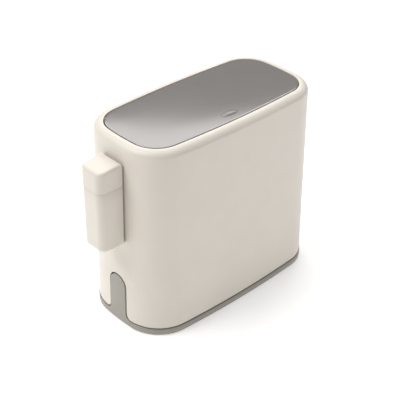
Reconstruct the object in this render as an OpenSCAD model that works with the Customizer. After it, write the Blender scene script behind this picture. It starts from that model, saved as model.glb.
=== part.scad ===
// Slim dog waste bin: a drafted outer shell with a flush hinged lid, a tray base with a
// locating tongue, a lift-out bucket, and a bag dispenser hung on one end.
// X runs along the length (dispenser at -X), Y across, Z up from the floor.

/* [Body] */
// Length of the body outline at the top
body_l = 326; // [300:1:360]
// Width of the body outline at the top
body_w = 163; // [150:1:180]
// Height of the rim above the floor
body_h = 300; // [280:1:340]
// Corner radius of the outline
corner_r = 60; // [54:1:64]
// How much wider the body is at the floor, on each side
draft = 4.2; // [3:0.2:6]
// Wall thickness of the shell
wall = 3; // [2.5:0.5:4]
// Radius of the rounded top edge
rim_r = 10; // [8:0.5:11]
// Distance from the outline in to the lid opening
rim_w = 13.6; // [12:0.2:15]
// Depth of the lip that lines the lid opening
lip_h = 10; // [8:0.5:11]

/* [Base] */
// Height of the shell's bottom edge above the floor
shell_z = 12.4; // [11:0.2:14]
// Height of the base's outer ledge
ledge_z = 10.2; // [9:0.2:10.6]
// How far the base stands out past the shell
base_proud = 0.8; // [0.5:0.1:1.5]
// Half width of the notch in the shell's end
notch_half = 18.1; // [15:0.1:21]
// Height of the notch's round top
notch_z = 83.5; // [60:0.5:110]
// Distance from the middle of the end to the notch's middle
notch_y = -1.4; // [-3:0.1:3]
// Gap around the tongue inside the notch
tongue_gap = 1.9; // [1.5:0.1:3]

/* [Lid] */
// Gap around the lid
lid_gap = 1.3; // [1.2:0.05:1.6]
// Thickness of the lid panel
lid_t = 3; // [2.8:0.1:3.2]
// How far the lid's top lies below the rim
lid_drop = 0.3; // [0.1:0.1:0.6]
// Hinge axis, measured from the middle towards the back
hinge_y = 54; // [52:0.5:55]
// Length of the push button
button_l = 28; // [24:1:32]
// Width of the push button
button_w = 11; // [10:0.5:12]
// How far the button stands above the lid
button_rise = 2; // [1:0.25:3]
// Distance from the middle to the button's centre
button_y = 50; // [49:0.5:51]
// Travel of the button and of the latch bolt
press = 2.5; // [2:0.1:2.6]

/* [Dispenser] */
// Width of the bag dispenser, across the end
box_w = 43; // [41:0.5:46]
// Depth of the bag dispenser, out from the end
box_d = 39; // [39:0.5:43]
// Height of the dispenser with its cap
box_h = 130; // [128:1:140]
// Height of the cap
cap_h = 35; // [32:1:38]
// Height of the dispenser's middle above the floor
box_z = 210; // [205:0.5:212]
// Distance between the dispenser and the wall
box_gap = 2.2; // [2.2:0.1:2.6]
// Radius of a bag roll
roll_r = 15; // [13:0.5:15]

/* [Hidden] */

half_l = body_l / 2;
half_w = body_w / 2;
eps = 0.01;
fit = 0.05;

rim_z = body_h - rim_r;
lip_t = 2.5;
lip_z = body_h - lip_h;

lid_top = body_h - lid_drop;
lid_under = lid_top - lid_t;
hinge_z = lid_top - lid_t / 2;
lid_inset = rim_w + lid_gap;
pin_r = 1;
pin_in = 106;
pin_out = 139;

liner_l = 270;
liner_front = -61;
liner_back = 48;
liner_r = 36;
liner_z = 277;
liner_w = liner_back - liner_front;
liner_y = (liner_front + liner_back) / 2;
liner_screw_at = [[-100, -40], [100, -40], [-100, 28], [100, 28], [-45, 28], [45, 28]];

ring_z = 270;
ring_t = 2.5;
ring_inset = 12.5;
seal_bulb_r = 2.6;

bucket_top = 267.2;
bucket_floor = 9;
bucket_wall = 1.8;
bucket_in_top = 17;
bucket_in_floor = 27;

bolt_z = 285.2;
bolt_t = 2.8;
bolt_top = bolt_z + bolt_t;
bolt_half = 8;
bolt_nose = -66.8;
bolt_tail = -40;
stem_back = -button_y + 3;
stem_foot = 289.5;
stem_cut = 4;
latch_back = -35;
latch_screw_at = [[-19, -47], [19, -47]];

tilt = atan(draft / body_h);
seam_z = box_h / 2 - cap_h;
box_r = 8.5;
box_back_r = 5.4;
cap_over = 0.4;
box_wall = 2;
back_wall = 4.5;
box_mid = -box_gap - box_d / 2;
roll_h = 57;
roll_x = -box_gap - back_wall - 0.6 - roll_r;
core_r = 7.5;
core_hole_r = 6.3;
rail_low = -40;
rail_high = 15;
outlet_r = 9;
hanger_screw_z = [-50, 35];

shell_color = [0.90, 0.89, 0.86];
grey = [0.62, 0.60, 0.57];
lid_color = [0.52, 0.50, 0.47];
dark = [0.25, 0.25, 0.25];
steel = [0.75, 0.76, 0.78];
bag_color = [0.20, 0.35, 0.25];
card = [0.66, 0.52, 0.38];

// How far the drafted wall lies outside the outline at height z.
function flare(z) = draft * (1 - z / body_h);

// Sweeps a profile around the body outline. Profile x is the distance outside the outline.
module sweep_outline() {
    sweep_box(body_l, body_w, corner_r) children();
}

// A flat plate that lies inside the outline by the inset.
module outline_plate(inset, z0, z1) {
    round_plate(body_l - 2 * inset, body_w - 2 * inset, corner_r - inset, z0, z1);
}

// Sweeps a profile around a rounded rectangle centred on the origin.
module sweep_box(lx, ly, r) {
    for (mx = [0, 1], my = [0, 1])
        mirror([mx, 0, 0]) mirror([0, my, 0]) translate([lx / 2 - r, ly / 2 - r, 0])
            rotate_extrude(angle = 90, start = 0, $fn = 64) translate([r, 0]) children();
    for (mx = [0, 1])
        mirror([mx, 0, 0]) translate([lx / 2, ly / 2 - r, 0]) rotate([90, 0, 0])
            linear_extrude(ly - 2 * r) children();
    for (my = [0, 1])
        mirror([0, my, 0]) translate([-lx / 2 + r, ly / 2, 0]) rotate([90, 0, 90])
            linear_extrude(lx - 2 * r) children();
}

// Sweeps a profile around the dispenser's outline, which is tighter at its two wall-side corners.
module sweep_dispenser() {
    for (my = [0, 1]) mirror([0, my, 0]) {
        translate([-box_d / 2 + box_r, box_w / 2 - box_r, 0]) rotate([0, 0, 90])
            rotate_extrude(angle = 90, start = 0, $fn = 64) translate([box_r, 0]) children();
        translate([box_d / 2 - box_back_r, box_w / 2 - box_back_r, 0])
            rotate_extrude(angle = 90, start = 0, $fn = 64) translate([box_back_r, 0]) children();
        translate([-box_d / 2 + box_r, box_w / 2, 0]) rotate([90, 0, 90])
            linear_extrude(box_d - box_r - box_back_r) children();
    }
    translate([box_d / 2, box_w / 2 - box_back_r, 0]) rotate([90, 0, 0])
        linear_extrude(box_w - 2 * box_back_r) children();
    mirror([1, 0, 0]) translate([box_d / 2, box_w / 2 - box_r, 0]) rotate([90, 0, 0])
        linear_extrude(box_w - 2 * box_r) children();
}

// A flat plate that lies inside the dispenser's outline by the inset.
module dispenser_plate(inset, z0, z1) {
    out = -box_d / 2;
    translate([0, 0, z0]) linear_extrude(z1 - z0) {
        translate([out + box_r, -box_w / 2 + inset])
            square([box_d - box_r - box_back_r, box_w - 2 * inset]);
        translate([out + inset, -box_w / 2 + box_r]) square([box_r, box_w - 2 * box_r]);
        translate([-out - box_back_r, -box_w / 2 + box_back_r])
            square([box_back_r - inset, box_w - 2 * box_back_r]);
        for (s = [-1, 1]) {
            translate([out + box_r, s * (box_w / 2 - box_r)]) circle(box_r - inset, $fn = 64);
            translate([-out - box_back_r, s * (box_w / 2 - box_back_r)])
                circle(box_back_r - inset, $fn = 64);
        }
    }
}

// A rounded rectangle prism centred on the origin.
module round_plate(lx, ly, r, z0, z1) {
    translate([0, 0, z0]) linear_extrude(z1 - z0) {
        square([lx - 2 * r, ly], center = true);
        square([lx, ly - 2 * r], center = true);
        for (sx = [-1, 1], sy = [-1, 1])
            translate([sx * (lx / 2 - r), sy * (ly / 2 - r)]) circle(r, $fn = 64);
    }
}

// An oval prism with its long axis along X.
module oval(l, w, z0, z1) {
    translate([0, 0, z0]) linear_extrude(z1 - z0) {
        square([l - w, w], center = true);
        for (s = [-1, 1]) translate([s * (l - w) / 2, 0]) circle(w / 2, $fn = 48);
    }
}

// A pan head screw pointing along +Z, its head below z = 0.
module pan_screw(r, length, head_r, head_h) {
    cylinder(h = length, r = r, $fn = 32);
    difference() {
        translate([0, 0, -head_h]) cylinder(h = head_h + eps, r = head_r, $fn = 32);
        for (a = [0, 90]) rotate([0, 0, a]) translate([-head_r * 0.6, -0.35, -head_h - 1])
            cube([head_r * 1.2, 0.7, 1.8]);
    }
}

// Places children against the end wall at the dispenser's height. Local -X points out.
module on_wall() {
    translate([-half_l - flare(box_z), 0, box_z]) rotate([0, tilt, 0]) children();
}

// The notch's shape across the end, or the tongue's when inset. X is across, Y is up.
module notch_shape(inset) {
    half = notch_half - inset;
    foot_r = 9 + inset;
    foot = shell_z - 0.5 - inset;
    translate([-half, 0]) square([2 * half, notch_z - notch_half]);
    translate([0, notch_z - notch_half]) circle(half, $fn = 96);
    for (s = [0, 1]) mirror([s, 0]) difference() {
        translate([half - eps, 0]) square([foot_r + eps, foot + foot_r]);
        translate([half + foot_r, foot + foot_r]) circle(foot_r, $fn = 72);
        translate([half + foot_r, foot]) square([foot_r, foot_r]);
    }
}

// Extrudes a shape drawn across the body through its -X end wall.
module through_end() {
    translate([-half_l - 15, notch_y, 0]) rotate([90, 0, 90]) linear_extrude(40) children();
}

module base_tray() {
    proud = draft + base_proud;
    edge_r = 1.5;
    tongue_t = 3.5;
    upstand = flare(shell_z) - wall - 0.6;
    color(grey) union() {
        sweep_outline() {
            difference() {
                translate([proud - 2.6, 1]) square([2.6, ledge_z - 1]);
                translate([proud - edge_r, ledge_z - edge_r]) difference() {
                    square(edge_r + eps);
                    circle(edge_r, $fn = 48);
                }
            }
            translate([upstand - 2, ledge_z - 2.5]) square([proud - upstand - edge_r + 2, 2.5]);
            translate([upstand - 2, 6]) square([2, 16]);
            translate([-8, 2.4]) square([6, 4]);
        }
        outline_plate(-upstand, 6, 8.5);
        intersection() {
            through_end() notch_shape(tongue_gap);
            sweep_outline() polygon([
                [flare(8) + base_proud - tongue_t, 8], [flare(8) + base_proud, 8],
                [flare(notch_z) + base_proud, notch_z],
                [flare(notch_z) + base_proud - tongue_t, notch_z]]);
        }
        for (s = [-1, 1]) translate([-half_l - 1.5, notch_y + s * 11 - 1, 8]) cube([6, 2, 62]);
    }
}

module foot_ring() {
    color(dark) sweep_outline() {
        translate([-9, 0]) square([8, 2.3]);
    }
}

module inner_bucket() {
    low_r = 8;
    slope = (bucket_in_floor - bucket_in_top) / (bucket_top - bucket_floor);
    knee = bucket_floor + low_r;
    knee_in = bucket_in_floor - slope * low_r;
    color([0.30, 0.31, 0.32]) {
        sweep_outline() {
            polygon([[-knee_in - bucket_wall, knee], [-knee_in, knee],
                [-bucket_in_top, bucket_top], [-bucket_in_top - bucket_wall, bucket_top]]);
            translate([-bucket_in_top - bucket_wall, bucket_top - 3.2]) square([bucket_wall + 2, 3.2]);
            translate([-knee_in - low_r, knee]) intersection() {
                difference() {
                    circle(low_r, $fn = 64);
                    circle(low_r - bucket_wall, $fn = 64);
                }
                translate([0, -low_r]) square(low_r);
            }
        }
        outline_plate(knee_in + low_r, bucket_floor, bucket_floor + bucket_wall);
    }
}

module bag_ring() {
    mouth_y = -6.5;
    skirt = 12;
    color(grey) difference() {
        union() {
            difference() {
                outline_plate(ring_inset, ring_z - skirt, ring_z);
                outline_plate(ring_inset + 2, ring_z - skirt - 1, ring_z - ring_t);
            }
            translate([0, mouth_y, 0]) round_plate(252, 91, 32, ring_z - 8, ring_z - 1);
        }
        translate([0, mouth_y, 0]) round_plate(248, 87, 30, ring_z - 9, ring_z + 1);
    }
}

module outer_shell() {
    color(shell_color) difference() {
        union() {
            sweep_outline() shell_profile();
            on_wall() for (z = hanger_screw_z) translate([0, 0, z]) rotate([0, 90, 0])
                translate([0, 0, wall / 2]) cylinder(h = wall / 2 + 7, r = 4.5, $fn = 48);
            for (s = [-1, 1]) intersection() {
                translate([s * 138 - 9, hinge_y - 4.5, body_h - 9]) cube([18, 9, 8]);
                sweep_outline() translate([-rim_w, body_h - 9]) square([6.5, 8]);
            }
        }
        through_end() notch_shape(0);
        on_wall() for (z = hanger_screw_z) translate([-5, 0, z]) rotate([0, 90, 0])
            cylinder(h = 20, r = 1.5 + fit, $fn = 32);
        for (s = [0, 1]) mirror([s, 0, 0]) translate([120, hinge_y, hinge_z]) rotate([0, 90, 0])
            cylinder(h = pin_out + 0.5 - 120, r = pin_r + fit, $fn = 32);
        for (s = [-1, 1]) translate([s * 10, -half_w, lip_z + 4]) rotate([-90, 0, 0])
            translate([0, 0, rim_w - 5]) cylinder(h = 10, r = 1.25 + fit, $fn = 32);
    }
}

// Half section of the shell: drafted wall, rounded rim, flat top and the lip of the opening.
module shell_profile() {
    edge = flare(rim_z);
    lip_r = 0.6;
    polygon([[flare(shell_z) - wall, shell_z], [flare(shell_z), shell_z], [edge, rim_z],
        [edge - wall, rim_z]]);
    translate([edge - rim_r, rim_z]) intersection() {
        difference() {
            circle(rim_r, $fn = 96);
            circle(rim_r - wall, $fn = 96);
        }
        square(rim_r);
    }
    difference() {
        union() {
            translate([-rim_w, body_h - wall]) square([rim_w + edge - rim_r, wall]);
            translate([-rim_w, lip_z]) square([lip_t, lip_h]);
        }
        translate([-rim_w, body_h - lip_r]) difference() {
            translate([-eps, 0]) square(lip_r + eps);
            translate([lip_r, 0]) circle(lip_r, $fn = 48);
        }
    }
}

module latch_strike() {
    back = -half_w + rim_w - lip_t;
    color(steel) difference() {
        union() {
            translate([-16, back - 1.7, lip_z - 1.6]) cube([32, 1.5, lip_h - wall + 1.4]);
            translate([-16, back - 1.7, lip_z - 1.6]) cube([32, 3.7, 1.3]);
        }
        for (s = [-1, 1]) translate([s * 10, back - 5, lip_z + 4]) rotate([-90, 0, 0])
            cylinder(h = 10, r = 1.25 + fit, $fn = 32);
    }
}

module strike_screws() {
    color(steel) for (s = [-1, 1])
        translate([s * 10, -half_w + rim_w + 0.05, lip_z + 4]) rotate([90, 0, 0])
            pan_screw(1.25, 6, 2.4, 1.1);
}

module hanger_plate() {
    plate_half = 20.5;
    color(grey) on_wall() difference() {
        union() {
            translate([-2, -plate_half, 4 - box_h / 2]) cube([1.6, 2 * plate_half, box_h - 8]);
            translate([-4.1 - eps, -5, rail_low]) cube([2.2, 10, rail_high - rail_low]);
            translate([-5.4, -8, rail_low]) cube([1.3, 16, rail_high - rail_low]);
        }
        for (z = hanger_screw_z) translate([-6, 0, z]) rotate([0, 90, 0])
            cylinder(h = 10, r = 1.5 + fit, $fn = 32);
        for (z = hanger_screw_z) translate([-2 - eps, 0, z]) rotate([0, 90, 0])
            cylinder(h = 1.3, r1 = 3.1, r2 = 1.5 + fit, $fn = 32);
    }
}

module hanger_screws() {
    color(steel) on_wall() for (z = hanger_screw_z) translate([-1.95, 0, z]) rotate([0, 90, 0])
        difference() {
            union() {
                cylinder(h = 11, r = 1.5, $fn = 32);
                cylinder(h = 1.2, r1 = 3, r2 = 1.5, $fn = 32);
            }
            for (a = [0, 90]) rotate([0, 0, a]) translate([-1.7, -0.35, -1]) cube([3.4, 0.7, 1.7]);
        }
}

module lid_panel() {
    edge_r = 0.8;
    color(lid_color) difference() {
        union() {
            outline_plate(lid_inset + 4, lid_under, lid_top);
            sweep_outline() difference() {
                translate([-lid_inset - 6, lid_under]) square([6, lid_t]);
                translate([-lid_inset - edge_r, lid_top - edge_r]) difference() {
                    square(edge_r + eps);
                    circle(edge_r, $fn = 48);
                }
            }
            for (s = [-1, 1]) translate([s * 113 - 7, hinge_y, hinge_z]) rotate([0, 90, 0])
                cylinder(h = 14, r = 4, $fn = 48);
            for (p = liner_screw_at) translate([p[0], p[1], liner_z + 2.2])
                cylinder(h = lid_under - liner_z - 2, r = 3.2, $fn = 32);
            for (p = latch_screw_at) translate([p[0], p[1], 289])
                cylinder(h = lid_under - 289 + eps, r = 3, $fn = 32);
        }
        translate([-130, hinge_y - 5, lid_top]) cube([260, 10, 5]);
        translate([0, -button_y, 0])
            oval(button_l + 0.8, button_w + 0.8, lid_under - 1, lid_top + 1);
        for (s = [0, 1]) mirror([s, 0, 0]) translate([pin_in, hinge_y, hinge_z]) rotate([0, 90, 0])
            cylinder(h = 40, r = pin_r + fit, $fn = 32);
        for (p = liner_screw_at) translate([p[0], p[1], liner_z])
            cylinder(h = 12.5, r = 1.25 + fit, $fn = 32);
        for (p = latch_screw_at) translate([p[0], p[1], 285])
            cylinder(h = 10.5, r = 1.25 + fit, $fn = 32);
    }
}

module lid_liner() {
    low_r = 4;
    color(shell_color) translate([0, liner_y, 0]) difference() {
        union() {
            sweep_box(liner_l, liner_w, liner_r) {
                translate([-2, liner_z + low_r]) square([2, lid_under - 0.2 - liner_z - low_r]);
                translate([-low_r, liner_z + low_r]) intersection() {
                    difference() {
                        circle(low_r, $fn = 48);
                        circle(low_r - 2, $fn = 48);
                    }
                    translate([0, -low_r]) square(low_r);
                }
            }
            round_plate(liner_l - 2 * low_r, liner_w - 2 * low_r, liner_r - low_r, liner_z, liner_z + 2);
        }
        for (p = liner_screw_at) translate([p[0], p[1] - liner_y, liner_z - 1])
            cylinder(h = 5, r = 1.6, $fn = 32);
        translate([-9, -liner_w / 2 - 1, 284.5]) cube([18, 4, 5]);
    }
}

module lid_seal() {
    color(dark) translate([0, liner_y, 0]) sweep_box(liner_l - 10, liner_w - 10, liner_r - 5) {
        translate([0, ring_z + 0.4 + seal_bulb_r]) circle(seal_bulb_r, $fn = 32);
        translate([-3, liner_z - 2.4]) square([6, 2.35]);
    }
}

module liner_screws() {
    color(steel) for (p = liner_screw_at) translate([p[0], p[1], liner_z - 0.05])
        pan_screw(1.25, 11, 2.6, 1.5);
}

module hinge_pins() {
    color(steel) for (s = [0, 1]) mirror([s, 0, 0]) translate([pin_in + 0.1, hinge_y, hinge_z])
        rotate([0, 90, 0]) cylinder(h = pin_out - pin_in - 0.1, r = pin_r, $fn = 32);
}

module hinge_springs() {
    wire = 0.5;
    color(steel) for (s = [0, 1]) mirror([s, 0, 0]) translate([101, hinge_y - 1.5, hinge_z - 5.5]) {
        for (i = [0 : 4]) translate([-i * 1.15, 0, 0]) rotate([0, 90, 0])
            rotate_extrude($fn = 48) translate([2.6, 0]) circle(wire, $fn = 16);
    }
}

module latch_housing() {
    color(grey) difference() {
        union() {
            translate([-12, -58.7, bolt_z - 2.4]) cube([24, 58.7 + latch_back + 2, 13.6]);
            for (s = [-1, 1]) translate([s * 17.5 - 6.5, -51, 286]) cube([13, 8, 2.9]);
        }
        translate([-bolt_half - 0.3, -60, bolt_z - 0.3]) cube([2 * bolt_half + 0.6, 60 + latch_back, 20]);
        translate([-17, -button_y - 8, 292]) cube([34, 16, 10]);
        for (p = latch_screw_at) translate([p[0], p[1], 280]) cylinder(h = 12, r = 1.6, $fn = 32);
    }
}

module latch_screws() {
    color(steel) for (p = latch_screw_at) translate([p[0], p[1], 285.95])
        pan_screw(1.25, 8.5, 2.6, 1.5);
}

module latch_spring() {
    wire = 0.35;
    color(steel) for (i = [0 : 3])
        translate([0, bolt_tail + 0.6 + i * 1.25, bolt_z + bolt_t / 2 + 0.4]) rotate([90, 0, 0])
            rotate_extrude($fn = 40) translate([1.5, 0]) circle(wire, $fn = 16);
}

module push_button() {
    crown = 2.5;
    top = lid_top + button_rise;
    color(grey) translate([0, -button_y, 0]) {
        oval(button_l, button_w, lid_under - 0.5, top - crown);
        oval(button_l - 2 * crown, button_w - 2 * crown, top - crown - eps, top);
        for (s = [0, 1]) mirror([0, s, 0]) translate([-(button_l - button_w) / 2, button_w / 2 - crown, 0])
            rotate([90, 0, 90]) linear_extrude(button_l - button_w) crown_profile(crown, top);
        for (s = [0, 1]) mirror([s, 0, 0]) translate([(button_l - button_w) / 2, 0, 0])
            rotate([0, 0, -90]) rotate_extrude(angle = 180, start = 0, $fn = 64)
                translate([button_w / 2 - crown, 0]) crown_profile(crown, top);
        oval(button_l + 3, button_w + 3, lid_under - 2.1, lid_under - 0.3);
        translate([-4, 0, 0]) rotate([90, 0, 90]) linear_extrude(8) polygon([
            [-3, lid_under - 1], [-3, stem_foot], [3 - stem_cut, stem_foot],
            [3, stem_foot + stem_cut], [3, lid_under - 1]]);
    }
}

// A quarter round that caps the button's side.
module crown_profile(r, top) {
    translate([0, top - r]) intersection() {
        circle(r, $fn = 48);
        square(r);
    }
}

module latch_bolt() {
    ramp_low = stem_back - stem_cut - (stem_foot - bolt_top) + 0.2;
    top = lid_under - 2.1 - press - 0.2;
    ramp_high = ramp_low + top - bolt_top;
    color(dark) difference() {
        union() {
            translate([-bolt_half, bolt_nose, bolt_z]) cube([2 * bolt_half, bolt_tail - bolt_nose, bolt_t]);
            translate([-3.8, 0, 0]) rotate([90, 0, 90]) linear_extrude(7.6) polygon([
                [ramp_low, bolt_top - eps], [ramp_high, top], [-43, top], [-43, bolt_top - eps]]);
        }
        translate([-4.6, ramp_low - 3.7, bolt_z - 1]) cube([9.2, 3.7, bolt_t + 2]);
        translate([-bolt_half - 1, bolt_nose, bolt_z]) rotate([0, 90, 0]) linear_extrude(2 * bolt_half + 2)
            polygon([[0.5, -1], [-1.4, -1], [0.5, 1.4]]);
    }
}

module dispenser_box() {
    low_r = 4;
    low = -box_h / 2;
    color(shell_color) on_wall() difference() {
        union() {
            translate([box_mid, 0, 0]) {
                sweep_dispenser() translate([-cap_over, 0]) {
                    translate([-box_wall, low + low_r]) square([box_wall, seam_z - low - low_r - 0.2]);
                    translate([-low_r, low + low_r]) intersection() {
                        difference() {
                            circle(low_r, $fn = 48);
                            circle(low_r - box_wall, $fn = 48);
                        }
                        translate([0, -low_r]) square(low_r);
                    }
                }
                dispenser_plate(low_r + cap_over, low, low + box_wall);
            }
            intersection() {
                translate([-box_gap - back_wall, -box_w, low]) cube([back_wall, 2 * box_w, 19 - low]);
                translate([box_mid, 0, 0]) dispenser_plate(0.8, low + low_r, 19);
            }
        }
        translate([-box_gap - 1.6, -5.3, low - 1]) cube([3, 10.6, rail_high + 0.3 - low + 1]);
        translate([-box_gap - 3.5, -8.4, low - 1]) cube([1.9 + eps, 16.8, rail_high + 0.3 - low + 1]);
        translate([roll_x, 0, low - 1]) cylinder(h = 5, r = outlet_r, $fn = 48);
    }
}

module outlet_grommet() {
    low = -box_h / 2;
    color(dark) on_wall() translate([roll_x, 0, low]) difference() {
        union() {
            translate([0, 0, -0.8]) cylinder(h = 0.75, r = outlet_r + 1.6, $fn = 48);
            translate([0, 0, -0.3]) cylinder(h = 3.3, r = outlet_r - fit, $fn = 48);
            translate([0, 0, box_wall + 0.05]) cylinder(h = 1, r = outlet_r + 1.2, $fn = 48);
        }
        translate([0, 0, -2]) cylinder(h = 8, r = 6, $fn = 48);
    }
}

module dispenser_cap() {
    top = box_h / 2;
    top_r = 3;
    color(shell_color) on_wall() translate([box_mid, 0, 0]) {
        sweep_dispenser() {
            translate([-box_wall, seam_z + 0.2]) square([box_wall, top - top_r - seam_z - 0.2]);
            translate([-top_r, top - top_r]) intersection() {
                difference() {
                    circle(top_r, $fn = 48);
                    circle(top_r - box_wall, $fn = 48);
                }
                square(top_r);
            }
            translate([-3.7, seam_z - 5]) square([1, 8]);
            translate([-3.7, seam_z + 1.5]) square([2.2, 1.5]);
        }
        dispenser_plate(top_r, top - box_wall, top);
    }
}

// One roll of bags, and the card tube inside it, standing with their foot at height z.
module roll(z) {
    color(bag_color) on_wall() translate([roll_x, 0, z]) difference() {
        cylinder(h = roll_h, r = roll_r, $fn = 72);
        translate([0, 0, -1]) cylinder(h = roll_h + 2, r = core_r, $fn = 48);
    }
}

module roll_core(z) {
    color(card) on_wall() translate([roll_x, 0, z]) difference() {
        cylinder(h = roll_h, r = core_r, $fn = 48);
        translate([0, 0, -1]) cylinder(h = roll_h + 2, r = core_hole_r, $fn = 48);
    }
}

lower_roll_z = -box_h / 2 + box_wall + 1.4;
upper_roll_z = lower_roll_z + roll_h + 0.4;

base_tray();
foot_ring();
inner_bucket();
bag_ring();
outer_shell();
latch_strike();
strike_screws();
hanger_plate();
hanger_screws();
lid_panel();
lid_liner();
lid_seal();
liner_screws();
hinge_pins();
hinge_springs();
latch_housing();
latch_screws();
latch_spring();
push_button();
latch_bolt();
dispenser_box();
outlet_grommet();
dispenser_cap();
roll(lower_roll_z);  // lower_bag_roll
roll_core(lower_roll_z);  // lower_roll_core
roll(upper_roll_z);  // upper_bag_roll
roll_core(upper_roll_z);  // upper_roll_core
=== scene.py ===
"""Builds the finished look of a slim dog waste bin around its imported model.

The shell, base, lid, button, dispenser, bucket and bag rolls are lofted here from arcs and short
profiles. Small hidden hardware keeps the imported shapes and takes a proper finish.
Pointss and outlines are in millimetres; everything handed to Blender is in metres.
"""

import logging
import math
from dataclasses import dataclass, field
from enum import Enum
from typing import Callable, Protocol, Sequence

import bmesh
import bpy
from mathutils import Matrix, Vector


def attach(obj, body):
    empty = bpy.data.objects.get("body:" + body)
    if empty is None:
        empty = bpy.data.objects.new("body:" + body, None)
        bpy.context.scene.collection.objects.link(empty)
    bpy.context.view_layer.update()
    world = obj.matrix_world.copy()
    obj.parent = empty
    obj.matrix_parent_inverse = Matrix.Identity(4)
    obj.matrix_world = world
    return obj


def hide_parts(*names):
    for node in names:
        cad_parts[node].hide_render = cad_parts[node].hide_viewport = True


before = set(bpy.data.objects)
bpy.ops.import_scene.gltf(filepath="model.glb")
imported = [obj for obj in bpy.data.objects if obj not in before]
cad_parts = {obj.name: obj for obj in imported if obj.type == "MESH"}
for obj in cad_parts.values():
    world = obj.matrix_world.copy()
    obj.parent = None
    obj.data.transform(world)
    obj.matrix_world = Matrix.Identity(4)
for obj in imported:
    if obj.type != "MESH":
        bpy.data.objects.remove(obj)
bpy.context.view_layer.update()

log = logging.getLogger("dog_waste_bin")

MM = 0.001
WELD_M = 2e-6
COAT_ROUGHNESS = 0.25
SCATTER_MM = 1.2
SCATTER_SHARES = (1.0, 0.85, 0.7)
CLOUD_MM = 45
PATCH_MM = 12
Points = list[tuple[float, float]]
Triple = tuple[float, float, float]
Piece = bpy.types.Object
Placer = Callable[[float, float, float], Vector]


# -------- finishes


class Surface(Enum):
    """How a moulded or formed surface is textured."""

    SPARK = "fine spark-eroded texture"
    SATIN = "satin with faint flow marks"
    RUBBER = "soft dusty rubber"
    ZINC = "drawn and plated steel"
    FILM = "wound thin film"
    CARD = "grey card"


@dataclass(frozen=True)
class Wiring:
    """The nodes of one material, while they are linked."""

    tree: bpy.types.NodeTree
    shader: bpy.types.Node
    place: bpy.types.NodeSocket

    def noise(self, size_mm: float, detail: float,
              stretch: Triple = (1, 1, 1)) -> bpy.types.NodeSocket:
        """Adds a noise texture.

        Args:
            size_mm: The size of one blotch, in millimetres.
            detail: How many finer layers the noise has.
            stretch: How much finer the noise is along each axis.

        Returns:
            The noise's factor output.
        """
        mapping = self.tree.nodes.new("ShaderNodeMapping")
        mapping.inputs["Scale"].default_value = [s / (size_mm * MM) for s in stretch]
        noise = self.tree.nodes.new("ShaderNodeTexNoise")
        noise.inputs["Scale"].default_value = 1.0
        noise.inputs["Detail"].default_value = detail
        self.tree.links.new(self.place, mapping.inputs["Vector"])
        self.tree.links.new(mapping.outputs["Vector"], noise.inputs["Vector"])
        return noise.outputs["Fac"]


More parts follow.
